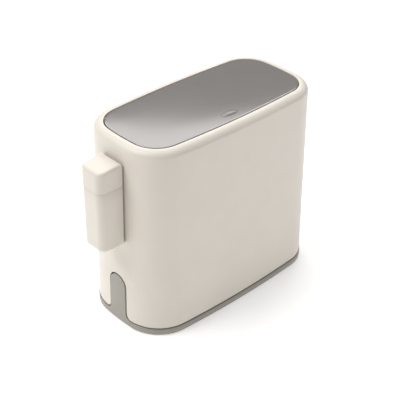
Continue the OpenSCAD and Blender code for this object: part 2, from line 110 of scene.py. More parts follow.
@dataclass(frozen=True)
class Finish:
    """One material, built from procedural nodes.

    Colours are linear. Sizes are in millimetres.
    """

    name: str
    colour: Triple
    roughness: float
    surface: Surface
    grain_mm: float = 0.6
    depth_mm: float = 0.012
    tint: float = 0.03
    wander: float = 0.05
    coat: float = 0.0
    metallic: float = 0.0
    subsurface: float = 0.0
    glow: float = 0.0

    def material(self) -> bpy.types.Material:
        """Builds the material, or returns it if it is already there.

        Returns:
            The Blender material.
        """
        ready = bpy.data.materials.get(self.name)
        if ready is not None:
            return ready
        material = bpy.data.materials.new(self.name)
        material.use_nodes = True
        tree = material.node_tree
        tree.nodes.clear()
        out = tree.nodes.new("ShaderNodeOutputMaterial")
        shader = tree.nodes.new("ShaderNodeBsdfPrincipled")
        tree.links.new(shader.outputs["BSDF"], out.inputs["Surface"])
        shader.inputs["Metallic"].default_value = self.metallic
        shader.inputs["Coat Weight"].default_value = self.coat
        shader.inputs["Coat Roughness"].default_value = COAT_ROUGHNESS
        shader.inputs["Emission Strength"].default_value = self.glow
        shader.inputs["Emission Color"].default_value = (1, 1, 1, 1)
        if self.subsurface:
            shader.inputs["Subsurface Weight"].default_value = self.subsurface
            shader.inputs["Subsurface Radius"].default_value = SCATTER_SHARES
            shader.inputs["Subsurface Scale"].default_value = SCATTER_MM * MM
        wiring = Wiring(tree, shader, tree.nodes.new("ShaderNodeTexCoord").outputs["Object"])
        self._colour(wiring)
        self._roughness(wiring)
        self._bump(wiring)
        return material

    def _colour(self, wiring: Wiring) -> None:
        """Links a slowly varying colour, slightly cooler and darker in places.

        Args:
            wiring: The material's nodes.
        """
        cloud = wiring.noise(CLOUD_MM, 3)
        ramp = wiring.tree.nodes.new("ShaderNodeValToRGB")
        dark = [c * (1 - self.tint * k) for c, k in zip(self.colour, (1.0, 0.95, 0.8))]
        light = [min(1, c * (1 + self.tint * 0.5)) for c in self.colour]
        for stop, place, colour in zip(ramp.color_ramp.elements, (0.3, 0.7), (dark, light)):
            stop.position = place
            stop.color = (*colour, 1)
        wiring.tree.links.new(cloud, ramp.inputs["Fac"])
        wiring.tree.links.new(ramp.outputs["Color"], wiring.shader.inputs["Base Color"])

    def _roughness(self, wiring: Wiring) -> None:
        """Links a roughness that wanders a little, as handled plastic does.

        Args:
            wiring: The material's nodes.
        """
        patches = wiring.noise(PATCH_MM, 4)
        spread = wiring.tree.nodes.new("ShaderNodeMapRange")
        spread.inputs["To Min"].default_value = max(0.02, self.roughness - self.wander)
        spread.inputs["To Max"].default_value = min(1, self.roughness + self.wander)
        wiring.tree.links.new(patches, spread.inputs["Value"])
        wiring.tree.links.new(spread.outputs["Result"], wiring.shader.inputs["Roughness"])

    def _bump(self, wiring: Wiring) -> None:
        """Links the fine surface texture.

        Args:
            wiring: The material's nodes.
        """
        stretch = {
            Surface.ZINC: (1.0, 1.0, 6.0),
            Surface.FILM: (1.0, 1.0, 0.08),
            Surface.CARD: (1.0, 1.0, 0.4),
        }.get(self.surface, (1.0, 1.0, 1.0))
        grain = wiring.noise(self.grain_mm, 2, stretch)
        bump = wiring.tree.nodes.new("ShaderNodeBump")
        bump.inputs["Strength"].default_value = 1.0
        bump.inputs["Distance"].default_value = self.depth_mm * MM
        wiring.tree.links.new(grain, bump.inputs["Height"])
        wiring.tree.links.new(bump.outputs["Normal"], wiring.shader.inputs["Normal"])


SHELL_WHITE = Finish("warm_white_plastic", (0.785, 0.731, 0.656), 0.42, Surface.SPARK, 0.7, 0.010,
                     tint=0.02, coat=0.05, subsurface=0.04)
BASE_GREY = Finish("warm_grey_plastic", (0.365, 0.339, 0.296), 0.45, Surface.SPARK, 0.6, 0.012)
LID_GREY = Finish("satin_grey_plastic", (0.198, 0.184, 0.175), 0.10, Surface.SATIN, 2.5, 0.0012,
                  wander=0.015)
BUTTON_GREY = Finish("button_grey_plastic", (0.27, 0.254, 0.238), 0.30, Surface.SATIN, 1.2, 0.002)
BUCKET_GREY = Finish("bucket_charcoal_plastic", (0.055, 0.055, 0.06), 0.5, Surface.SPARK, 0.9, 0.02)
RUBBER = Finish("soft_black_rubber", (0.025, 0.025, 0.026), 0.72, Surface.RUBBER, 0.5, 0.015, tint=0.15)
STEEL = Finish("zinc_plated_steel", (0.58, 0.59, 0.61), 0.32, Surface.ZINC, 0.8, 0.006, metallic=1.0)
FILM = Finish("green_bag_film", (0.045, 0.13, 0.065), 0.34, Surface.FILM, 0.9, 0.05, tint=0.2)
CARD = Finish("grey_card", (0.36, 0.27, 0.18), 0.85, Surface.CARD, 0.7, 0.03, tint=0.12)
PAPER = Finish("studio_paper", (0.93, 0.93, 0.925), 0.9, Surface.CARD, 1.5, 0.02, tint=0.0, glow=0.35)


# -------- outlines and paths


@dataclass(frozen=True)
class Arc:
    """A stretch of outline: part of a circle, in millimetres and degrees."""

    x: float
    y: float
    radius: float
    start: float
    end: float
    steps: int

    def at(self, share: float, offset: float) -> tuple[float, float]:
        """A point on the arc.

        Args:
            share: How far along the arc, from 0 to 1.
            offset: How far outside the arc.

        Returns:
            The point's X and Y.
        """
        angle = math.radians(self.start + (self.end - self.start) * share)
        reach = self.radius + offset
        return self.x + reach * math.cos(angle), self.y + reach * math.sin(angle)


class Outline(Protocol):
    """Anything with a closed plan outline that can be offset."""

    def loop(self, offset: float) -> Points:
        """The outline's points at an offset, counter-clockwise."""


@dataclass(frozen=True)
class BowedOutline:
    """The bin's plan: four corner arcs joined by slightly bowed sides and ends."""

    length: float
    width: float
    corner: float
    side_bow: float
    end_bow: float
    end_steps: int = 12
    corner_steps: int = 26
    side_steps: int = 44

    def arcs(self) -> list[Arc]:
        """The eight arcs, counter-clockwise from the +X end.

        Returns:
            The arcs, which meet with a common tangent.
        """
        half_l, half_w, r = self.length / 2, self.width / 2, self.corner
        cx = half_l - r - self.end_bow
        cy = half_w - r - self.side_bow
        side_r = (cx**2 + (half_w - cy) ** 2 - r**2) / (2 * self.side_bow)
        end_r = (cy**2 + (half_l - cx) ** 2 - r**2) / (2 * self.end_bow)
        side = math.degrees(math.atan2(cy - half_w + side_r, cx))
        end = math.degrees(math.atan2(cy, cx - half_l + end_r))
        e, c, s = self.end_steps, self.corner_steps, self.side_steps
        return [
            Arc(half_l - end_r, 0, end_r, -end, end, e),
            Arc(cx, cy, r, end, side, c),
            Arc(0, half_w - side_r, side_r, side, 180 - side, s),
            Arc(-cx, cy, r, 180 - side, 180 - end, c),
            Arc(-half_l + end_r, 0, end_r, 180 - end, 180 + end, e),
            Arc(-cx, -cy, r, 180 + end, 180 + side, c),
            Arc(0, -half_w + side_r, side_r, 180 + side, 360 - side, s),
            Arc(cx, -cy, r, 360 - side, 360 - end, c),
        ]

    def count(self) -> int:
        """How many points the outline has."""
        return 2 * self.end_steps + 4 * self.corner_steps + 2 * self.side_steps

    def far_end(self) -> int:
        """The index of the point in the middle of the -X end."""
        return self.count() // 2 + self.end_steps // 2

    def at(self, place: float, offset: float) -> tuple[float, float]:
        """A point on the outline.

        Args:
            place: A point's index, or a number between two of them.
            offset: How far outside the outline.

        Returns:
            The point's X and Y.
        """
        place %= self.count()
        for arc in self.arcs():
            if place <= arc.steps:
                return arc.at(place / arc.steps, offset)
            place -= arc.steps
        raise ValueError("the place is past the outline's end")

    def loop(self, offset: float) -> Points:
        """The outline's points at an offset, counter-clockwise."""
        return [arc.at(i / arc.steps, offset) for arc in self.arcs() for i in range(arc.steps)]

    def place_of(self, across: float, offset: float) -> float:
        """Where the -X end crosses a line of constant Y.

        Args:
            across: The Y to find.
            offset: How far outside the outline.

        Returns:
            The place along the outline.
        """
        low = self.far_end() - self.end_steps / 2 - self.corner_steps / 2
        high = self.far_end() + self.end_steps / 2 + self.corner_steps / 2
        for _ in range(40):
            middle = (low + high) / 2
            if self.at(middle, offset)[1] > across:
                low = middle
            else:
                high = middle
        return (low + high) / 2


@dataclass(frozen=True)
class RoundedBox:
    """A rectangle with rounded corners, or an oval if the corners fill its width.

    The two corners on the -X side can have a radius of their own.
    """

    length: float
    width: float
    corner: float
    steps: int = 12
    x: float = 0
    y: float = 0
    left_corner: float | None = None

    def loop(self, offset: float) -> Points:
        """The outline's points at an offset, counter-clockwise.

        Args:
            offset: How far outside the outline.

        Returns:
            The points.
        """
        points = []
        for quarter, (sx, sy) in enumerate([(1, 1), (-1, 1), (-1, -1), (1, -1)]):
            own = self.corner if sx > 0 or self.left_corner is None else self.left_corner
            radius = max(own + offset, 0.02)
            reach_x = self.length / 2 + offset - radius
            reach_y = self.width / 2 + offset - radius
            arc = Arc(self.x + sx * reach_x, self.y + sy * reach_y, radius,
                      90 * quarter, 90 * quarter + 90, self.steps)
            points += [arc.at(i / self.steps, 0) for i in range(self.steps + 1)]
        return points


def bend(x: float, z: float, radius: float, start: float, end: float, steps: int = 8,
         squash: float = 1.0) -> Points:
    """A rounded stretch of a profile.

    Args:
        x: The centre's distance outside the outline.
        z: The centre's height.
        radius: The radius along X.
        start: The first angle, in degrees from outward towards up.
        end: The last angle.
        steps: How many straight pieces make the bend.
        squash: The radius along Z as a share of the one along X.

    Returns:
        The profile's points.
    """
    points = []
    for i in range(steps + 1):
        angle = math.radians(start + (end - start) * i / steps)
        points.append((x + radius * math.cos(angle), z + radius * squash * math.sin(angle)))
    return points


def straight(x: float, y: float, z: float) -> Vector:
    """Places a point in millimetres into the model, in metres."""
    return Vector((x, y, z)) * MM


def lathe_point(axis: Matrix, radius: float, along: float, turn: float) -> Vector:
    """A point at a radius and an angle about an axis, some way along it, in metres."""
    return axis @ (Vector((radius * math.cos(turn), radius * math.sin(turn), along)) * MM)


def spread(low: float, high: float, steps: int) -> list[float]:
    """Evenly spaced numbers from low to high, both included."""
    return [low + (high - low) * i / steps for i in range(steps + 1)]


# -------- mesh building


@dataclass
class Skin:
    """A mesh put together from sheets of four-sided faces and a few flat fills."""

    name: str
    place: Placer = straight
    mesh: bmesh.types.BMesh = field(default_factory=bmesh.new)

    def sheet(self, rows: Sequence[Sequence[Vector]], wrap: bool = False, ends: bool = False) -> None:
        """Joins neighbouring rows of points with faces.

        Args:
            rows: Rows of equally many points, in metres.
            wrap: Whether each row closes on itself.
            ends: Whether the first and last rows are filled flat.
        """
        made = [[self.mesh.verts.new(p) for p in row] for row in rows]
        for upper, lower in zip(made, made[1:]):
            last = len(upper) if wrap else len(upper) - 1
            for i in range(last):
                j = (i + 1) % len(upper)
                self.mesh.faces.new((upper[i], upper[j], lower[j], lower[i]))
        if ends:
            self.fill(rows[0])
            self.fill(rows[-1])

    def fill(self, points: Sequence[Vector]) -> None:
        """Closes a flat loop of points with one face."""
        self.mesh.faces.new([self.mesh.verts.new(p) for p in points])

    def loft(self, outline: Outline, profile: Points, closed: bool = False,
             ends: bool = False) -> None:
        """Sweeps a profile round an outline.

        Args:
            outline: The plan to follow.
            profile: Points given as distance outside the outline and height.
            closed: Whether the profile's last point joins its first.
            ends: Whether the first and last loops are filled flat.
        """
        path = profile + profile[:1] if closed else profile
        rows = [[self.place(x, y, z) for x, y in outline.loop(u)] for u, z in path]
        self.sheet(rows, wrap=True, ends=ends)

    def turn(self, profile: Points, axis: Matrix, steps: int = 40) -> None:
        """Turns a profile about an axis, as on a lathe.

        Args:
            profile: Points given as radius and distance along the axis.
            axis: Takes the axis' own frame, with Z along it, to the model, in metres.
            steps: How many faces go round.
        """
        turns = [2 * math.pi * i / steps for i in range(steps)]
        rows = [[lathe_point(axis, radius, along, turn) for turn in turns] for radius, along in profile]
        self.sheet(rows, wrap=True)

    def build(self, finish: Finish, soften_mm: float = 0.0, sharp: float = 32.0) -> Piece:
        """Makes the object, welded, facing outward and smooth between sharp edges.

        Args:
            finish: The material it takes.
            soften_mm: The radius worked into its sharp edges, in millimetres.
            sharp: The angle above which an edge is sharp, in degrees.

        Returns:
            The new object.
        """
        bmesh.ops.remove_doubles(self.mesh, verts=self.mesh.verts, dist=WELD_M)
        bmesh.ops.recalc_face_normals(self.mesh, faces=self.mesh.faces)
        data = bpy.data.meshes.new(self.name)
        self.mesh.to_mesh(data)
        self.mesh.free()
        piece = bpy.data.objects.new(self.name, data)
        bpy.context.scene.collection.objects.link(piece)
        dress(piece, finish, soften_mm, sharp)
        return piece


def dress(piece: Piece, finish: Finish, soften_mm: float, sharp: float = 32.0) -> None:
    """Gives an object its material, smooth shading and softened edges.

    Args:
        piece: The object to dress.
        finish: The material it takes.
        soften_mm: The radius worked into its sharp edges, in millimetres.
        sharp: The angle above which an edge is sharp, in degrees.
    """
    piece.data.materials.clear()
    piece.data.materials.append(finish.material())
    piece.data.shade_smooth()
    if soften_mm:
        soften = piece.modifiers.new("soft_edges", "BEVEL")
        soften.width = soften_mm * MM
        soften.segments = 3
        soften.limit_method = "ANGLE"
        soften.angle_limit = math.radians(sharp)
        soften.harden_normals = True
    else:
        piece.data.set_sharp_from_angle(angle=math.radians(sharp))


def carve(piece: Piece, *tools: Piece) -> None:
    """Cuts tools out of an object and removes them.

    Args:
        piece: The object to cut.
        tools: The shapes to take away.
    """
    softening = [m.name for m in piece.modifiers]
    for name in softening:
        piece.modifiers[name].show_viewport = False
    for tool in tools:
        cut = piece.modifiers.new("cut", "BOOLEAN")
        cut.operation = "DIFFERENCE"
        cut.solver = "EXACT"
        cut.object = tool
        bpy.context.view_layer.update()
        graph = bpy.context.evaluated_depsgraph_get()
        data = bpy.data.meshes.new_from_object(piece.evaluated_get(graph))
        piece.modifiers.remove(cut)
        piece.data = data
        bpy.data.objects.remove(tool)
    for name in softening:
        piece.modifiers[name].show_viewport = True


def block(name: str, low: Triple, high: Triple,
          place: Placer = straight) -> Piece:
    """A box-shaped cutting tool.

    Args:
        name: The tool's name.
        low: Its lowest corner, in millimetres.
        high: Its highest corner, in millimetres.
        place: Puts a point into the model.

    Returns:
        The tool.
    """
    skin = Skin(name, place)
    square = RoundedBox(high[0] - low[0], high[1] - low[1], 0, 1,
                        (low[0] + high[0]) / 2, (low[1] + high[1]) / 2)
    skin.loft(square, [(0, low[2]), (0, high[2])], ends=True)
    return skin.build(STEEL)


def settle(piece: Piece, body: str, slot: str, *nodes: str) -> None:
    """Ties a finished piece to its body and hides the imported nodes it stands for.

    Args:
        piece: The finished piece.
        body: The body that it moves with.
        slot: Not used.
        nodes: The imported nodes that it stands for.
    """
    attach(piece, body)
    if nodes:
        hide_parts(*nodes)
    log.info("%s rides on %s", piece.name, body)


# -------- the body


@dataclass(frozen=True)
class Notch:
    """The round-topped opening in the end wall, and the tongue that fills it."""

    half: float = 18.1
    top: float = 83.5
    across: float = -1.4
    foot: float = 11.9
    foot_r: float = 9.0
    foot_steps: int = 6
    side_steps: int = 6
    arch_steps: int = 11

    def inset(self, gap: float) -> "Notch":
        """The same shape, made smaller by a gap all round."""
        return Notch(self.half - gap, self.top - gap, self.across, self.foot - gap, self.foot_r + gap)

    def flank(self, low: float) -> Points:
        """One side of the opening, from its foot up to the top of its round arch.

        Args:
            low: The height to start from.

        Returns:
            Half width and height, point by point.
        """
        centre_z = self.foot + self.foot_r
        start = math.degrees(math.asin(max(-1.0, (low - centre_z) / self.foot_r)))
        shoulder = self.top - self.half
        points = bend(self.half + self.foot_r, centre_z, self.foot_r, 180 - start, 180, self.foot_steps)
        points += [(self.half, z) for z in spread(centre_z, shoulder, self.side_steps)[1:]]
        return points + bend(0, shoulder, self.half, 0, 90, self.arch_steps)[1:]

    def arch(self, low: float) -> Points:
        """The whole edge as Y and height, from a height up the +Y side, over the arch and down."""
        flank = self.flank(low)
        return [(self.across + y, z) for y, z in flank] + [(self.across - y, z) for y, z in flank[-2::-1]]


@dataclass
class Body:
    """The white shell with its rounded rim and lid opening, and the grey tray base."""

    outline: BowedOutline = BowedOutline(326, 163, 54.2, 3.7, 0.8)
    height: float = 300.0
    draft: float = 4.2
    wall: float = 3.0
    rim_r: float = 10.0
    rim_w: float = 13.6
    lip_r: float = 0.9
    lip_t: float = 2.5
    lip_h: float = 10.0
    foot: float = 12.4
    ledge: float = 10.2
    proud: float = 0.8
    notch: Notch = Notch()
    tongue_gap: float = 1.9
    tongue_t: float = 3.4
    tongue_rise: float = 11.0
    patch_rows: int = 10
    patch_reach: int = 13
    patch_top: float = 106.0

    def flare(self, z: float) -> float:
        """How far the wall lies outside the outline at a height."""
        return self.draft * (1 - z / self.height)

    def on_wall(self, place: float, z: float, depth: float = 0.0) -> Vector:
        """A point at a place along the drafted wall, at a height and a depth inside its face."""
        x, y = self.outline.at(place, self.flare(z) - depth)
        return straight(x, y, z)

    def end_place(self, across: float, z: float, depth: float = 0.0) -> float:
        """The place on the -X end at a distance across and a height."""
        return self.outline.place_of(across, self.flare(z) - depth)

    def shell(self) -> Piece:
        """Builds the outer shell with its notch.

        Returns:
            The shell.
        """
        skin = Skin("outer_shell")
        rim_z = self.height - self.rim_r
        reach = self.rim_w - self.lip_r + self.flare(rim_z)
        lip = -self.rim_w
        over = bend(self.flare(rim_z) - reach, rim_z, reach, 0, 90, 20, self.rim_r / reach)
        over += bend(lip + self.lip_r, self.height - self.lip_r, self.lip_r, 90, 180, 5)[1:]
        over += [(lip, self.height - self.lip_h)]
        over += [(lip + self.lip_t, self.height - self.lip_h)]
        over += [(lip + self.lip_t, self.height - self.wall)]
        inner = reach - self.wall
        over += bend(self.flare(rim_z) - reach, rim_z, inner, 90, 0, 12,
                     (self.rim_r - self.wall) / inner)[1:]
        outer_wall = [(self.flare(z), z) for z in spread(self.patch_top, rim_z, 16)][:-1]
        inner_wall = [(self.flare(z) - self.wall, z) for z in spread(rim_z, self.patch_top, 16)][1:]
        skin.loft(self.outline, outer_wall + over + inner_wall)
        edges = [self._lower_wall(skin, 0.0), self._lower_wall(skin, self.wall)]
        for part in zip(*edges):
            skin.sheet(part)
        return skin.build(SHELL_WHITE, 0.45)

    def _lower_wall(self, skin: Skin, depth: float) -> tuple[list[Vector], list[Vector]]:
        """Adds one face of the wall below the patch's top, with the notch left open.

        Args:
            skin: The mesh to add to.
            depth: How far inside the wall's outer face.

        Returns:
            The points along the bottom edge, and those along the notch's edge.
        """
        count = self.outline.count()
        middle = self.outline.far_end()
        first, last = middle - self.patch_reach, middle + self.patch_reach
        levels = spread(self.foot, self.patch_top, self.patch_rows)
        around = range(last, first + count + 1)
        rows = [[self.on_wall(i, z, depth) for i in around] for z in levels]
        skin.sheet(rows)
        border = [(float(first), z) for z in levels]
        border += [(float(i), self.patch_top) for i in range(first + 1, last)]
        border += [(float(last), z) for z in reversed(levels)]
        hole = [(self.end_place(y, z, depth), z) for y, z in self.notch.arch(self.foot)]
        layers = []
        for share in (0.0, 0.04, 0.14, 0.32, 0.6, 1.0):
            layers.append([(h[0] + (b[0] - h[0]) * share, h[1] + (b[1] - h[1]) * share)
                           for h, b in zip(hole, border)])
        patch = [[self.on_wall(s, z, depth) for s, z in layer] for layer in layers]
        skin.sheet(patch)
        bottom = [layer[-1] for layer in patch] + rows[0][1:-1] + [layer[0] for layer in reversed(patch)]
        return bottom, patch[0]

    def base(self) -> Piece:
        """Builds the tray base: floor, outer band, locating wall and tongue.

        Returns:
            The base.
        """
        skin = Skin("base_tray")
        band = self.draft + self.proud
        clearance, edge_r, toe_r = 0.6, 1.6, 0.9
        wall = self.flare(self.foot) - self.wall - clearance
        middle, wall_top, floor, under, ring_seat = -30, 21, 8.5, 6, 2.4
        path = [(middle, floor), (wall - 2, floor)]
        path += bend(wall - 1, wall_top, 1, 180, 0, 8)
        path += [(wall, self.ledge)]
        path += bend(band - edge_r, self.ledge - edge_r, edge_r, 90, 0, 8)
        path += bend(band - toe_r, 1 + toe_r, toe_r, 0, -90, 5)
        path += [(band - 2.6, 1), (band - 2.6, under), (-2, under), (-2, ring_seat),
                 (-8, ring_seat), (-8, under), (middle, under)]
        skin.loft(self.outline, path, ends=True)
        self._tongue(skin)
        return skin.build(BASE_GREY, 0.35)

    def _tongue_depth(self, z: float) -> float:
        """How far the tongue's face lies inside the shell's; it stands proud and meets the band.

        Args:
            z: The height.

        Returns:
            The depth, which is below zero where the tongue stands proud.
        """
        share = min(1.0, max(0.0, (z - self.ledge + 1) / self.tongue_rise))
        share = share * share * (3 - 2 * share)
        band = self.draft + self.proud
        return (1 - share) * (self.flare(z) - band) - share * self.proud

    def _tongue(self, skin: Skin) -> None:
        """Adds the tongue that rises from the band into the notch.

        Args:
            skin: The base's mesh.
        """
        shape = self.notch.inset(self.tongue_gap)
        flank = [(shape.half + shape.foot_r * 0.55, self.ledge - 2.5)] + shape.flank(self.ledge - 0.4)
        columns = spread(1, -1, 14)
        faces = []
        for thickness in (0.0, self.tongue_t):
            rows = []
            for half, z in flank:
                depth = self._tongue_depth(z) + thickness
                if z < self.ledge - 1:
                    depth += 0.05
                rows.append([self.on_wall(self.end_place(shape.across + half * c, z, depth), z, depth)
                             for c in columns])
            skin.sheet(rows)
            faces.append(rows)
        rims = []
        for rows in faces:
            up = [row[0] for row in rows]
            down = [row[-1] for row in reversed(rows)]
            rims.append(up + rows[-1][1:-1] + down + list(reversed(rows[0]))[1:-1])
        skin.sheet(rims, wrap=True)

    def foot_ring(self) -> Piece:
        """Builds the anti-slip ring under the base, with rounded tread edges.

        Returns:
            The ring.
        """
        skin = Skin("foot_ring")
        path = bend(-1.8, 0.8, 0.8, 0, -90, 4) + [(-4.2, 0), (-4.6, 0.5), (-5.4, 0.5), (-5.8, 0)]
        path += bend(-8.2, 0.8, 0.8, -90, -180, 4) + [(-9, 2.3), (-1, 2.3)]
        skin.loft(self.outline, path, closed=True)
        return skin.build(RUBBER)

    def assemble(self) -> None:
        """Builds the shell, base and foot ring and ties them to their bodies."""
        settle(self.shell(), "shell", "shell_white", "outer_shell")
        settle(self.base(), "base", "base_grey", "base_tray")
        settle(self.foot_ring(), "base", "rubber_dark", "foot_ring")


@dataclass
class Bucket:
    """The lift-out bucket and the ring that clamps a bag over its rim."""

    body: Body
    top: float = 267.2
    floor: float = 9.0
    wall: float = 1.8
    inset_top: float = 17.0
    inset_floor: float = 27.0
    ring_z: float = 270.0
    ring_skirt: float = 12.0
    foot_r: float = 8.0

    def bucket(self) -> Piece:
        """Builds the bucket with its rolled rim and rounded foot.

        Returns:
            The bucket.
        """
        skin = Skin("inner_bucket")
        slope = (self.inset_floor - self.inset_top) / (self.top - self.floor)
        knee = self.floor + self.foot_r
        knee_in = self.inset_floor - slope * self.foot_r
        rim = -self.inset_top
        path = [(-45, self.floor)] + bend(-knee_in - self.foot_r, knee, self.foot_r, -90, 0, 8)
        path += [(rim - 0.2, self.top - 4)]
        path += bend(rim + 0.4, self.top - 1.6, 1.6, -90, 90, 8)
        path += [(rim - self.wall + 0.5, self.top)]
        path += [(-knee_in - self.wall, knee)]
        path += bend(-knee_in - self.foot_r, knee, self.foot_r - self.wall, 0, -90, 8)[1:]
        path += [(-45, self.floor + self.wall)]
        skin.loft(self.body.outline, path, ends=True)
        return skin.build(BUCKET_GREY, 0.3)

    def ring(self) -> Piece:
        """Builds the bag ring: a flat land with a skirt outside and a throat inside.

        Returns:
            The ring.
        """
        skin = Skin("bag_ring")
        mouth = RoundedBox(248, 87, 30, 16, 0, -6.5)
        high, low = self.ring_z, self.ring_z - self.ring_skirt
        under = high - 2.5
        path = [(-30, under), (-14.5, under), (-14.5, low), (-12.5, low)]
        path += bend(-13.7, high - 1.2, 1.2, 0, 90, 5) + [(-22, high), (-30, high)]
        skin.loft(self.body.outline, path, closed=True)
        skin.loft(mouth, [(14, high - 0.02), (1.2, high - 0.02)] + bend(1.2, high - 1.22, 1.2, 90, 180, 5)
                  + [(0, high - 8), (2, high - 8), (2, under + 0.02), (14, under + 0.02)], closed=True)
        return skin.build(BASE_GREY, 0.3)

    def assemble(self) -> None:
        """Builds both and ties them to the base."""
        settle(self.bucket(), "base", "bucket_dark", "inner_bucket")
        settle(self.ring(), "base", "base_grey", "bag_ring")


# -------- the lid


@dataclass
class Lid:
    """The flush lid panel with its oval push button."""

    body: Body
    gap: float = 1.3
    thick: float = 3.0
    drop: float = 0.3
    crown: float = 0.15
    crown_reach: float = 36.0
    hinge_y: float = 54.0
    button_l: float = 28.0
    button_w: float = 11.0
    button_y: float = -50.0
    button_rise: float = 2.0
    stem_foot: float = 289.5
    barrel_x: float = 113.0
    barrel_r: float = 4.0
    barrel_half: float = 7.0

    def top(self) -> float:
        """The height of the panel's edge."""
        return self.body.height - self.drop

    def panel(self) -> Piece:
        """Builds the crowned panel with its rolled edge and the button's opening.

        Returns:
            The panel.
        """
        skin = Skin("lid_panel")
        edge = -self.body.rim_w - self.gap
        top, under = self.top(), self.top() - self.thick
        path = [(edge - self.crown_reach, under), (edge - 1, under), (edge - 0.4, under)]
        path += bend(edge - 0.4, under + 0.4, 0.4, -90, 0, 2)
        path += bend(edge - 0.8, top - 0.8, 0.8, 0, 90, 6)
        for share in spread(0, 1, 14)[1:]:
            away = self.crown_reach * share
            path.append((edge - 0.8 - away, top + self.crown * (1 - (1 - share) ** 2)))
        skin.loft(self.body.outline, path, ends=True)
        for side in (-1, 1):
            axis = Matrix.Translation(straight(side * self.barrel_x, self.hinge_y, top - self.thick / 2))
            axis = axis @ Matrix.Rotation(math.pi / 2, 4, "Y")
            self._barrel(skin, axis)
        panel = skin.build(LID_GREY)
        carve(panel, self._button_tool())
        panel.data.set_sharp_from_angle(angle=math.radians(40))
        return panel

    def _barrel(self, skin: Skin, axis: Matrix) -> None:
        """Adds the lower part of a hinge barrel under the panel.

        Args:
            skin: The panel's mesh.
            axis: The barrel's frame.
        """
        rows = []
        far, bevel = self.barrel_half, 0.4
        turns = [math.radians(angle) for angle in spread(-70, 70, 16)]
        for along in (-far, bevel - far, far - bevel, far):
            radius = self.barrel_r if abs(along) < far else self.barrel_r - bevel
            rows.append([lathe_point(axis, radius, along, turn) for turn in turns])
        skin.sheet(rows, wrap=True, ends=True)

    def place_button(self, x: float, y: float, z: float) -> Vector:
        """Stretches a round shape into the button's ellipse and puts it in its place."""
        return straight(x * self.button_l / self.button_w, self.button_y + y, z)

    def _button_tool(self) -> Piece:
        """The elliptical tool that opens the panel for the button.

        Returns:
            The tool.
        """
        skin = Skin("button_tool", self.place_button)
        width = self.button_w + 0.3
        top = self.top()
        skin.loft(RoundedBox(width, width, width / 2, 16), [(0, top - 6), (0, top + 4)], ends=True)
        return skin.build(STEEL)

    def button(self) -> Piece:
        """Builds the push button: an elliptical pebble with a flange and a wedge-ended stem.

        Returns:
            The button.
        """
        skin = Skin("push_button", self.place_button)
        half = self.button_w / 2
        seat = self.top() + 0.05
        low = self.top() - self.thick
        path = [(-3.4, low - 2), (0.6, low - 2), (0.6, low - 0.4), (0, low - 0.4)]
        for share in spread(0, 1, 14):
            path.append((-half * share, seat + self.button_rise * (1 - (1 - share) ** 2.2)))
        skin.loft(RoundedBox(self.button_w, self.button_w, half, 16), path, ends=True)
        wedge = [(-3, low - 1.9), (-3, self.stem_foot), (-1, self.stem_foot),
                 (3, self.stem_foot + 4), (3, low - 1.9)]
        sides = [[straight(x, self.button_y + y, z) for y, z in wedge] for x in (-4, 4)]
        skin.sheet(sides, wrap=True, ends=True)
        return skin.build(BUTTON_GREY)

    def assemble(self) -> None:
        """Builds the panel and button and ties them to their bodies."""
        settle(self.panel(), "lid", "lid_grey", "lid_panel")
        settle(self.button(), "button", "button_grey", "push_button")


@dataclass
class LatchSpring:
    """The small compression spring behind the latch bolt, wound as a true helix."""

    radius: float = 1.5
    wire: float = 0.35
    turns: float = 4.5
    front: float = -39.6
    back: float = -35.4
    height: float = 287.0
    per_turn: int = 24

    def spring(self) -> Piece:
        """Builds the spring.

        Returns:
            The spring.
        """
        skin = Skin("latch_spring")
        rows = []
        for i in range(int(self.turns * self.per_turn) + 1):
            share = i / (self.turns * self.per_turn)
            turn = 2 * math.pi * i / self.per_turn
            out = Vector((math.cos(turn), 0, math.sin(turn)))
            centre = Vector((0, self.front + (self.back - self.front) * share, self.height))
            centre += out * self.radius
            ring = []
            for k in range(8):
                roll = 2 * math.pi * k / 8
                point = centre + (out * math.cos(roll) + Vector((0, 1, 0)) * math.sin(roll)) * self.wire
                ring.append(point * MM)
            rows.append(ring)
        skin.sheet(rows, wrap=True, ends=True)
        return skin.build(STEEL)

    def assemble(self) -> None:
        """Builds the spring and ties it to the lid."""
        settle(self.spring(), "lid", "steel", "latch_spring")


# -------- the dispenser


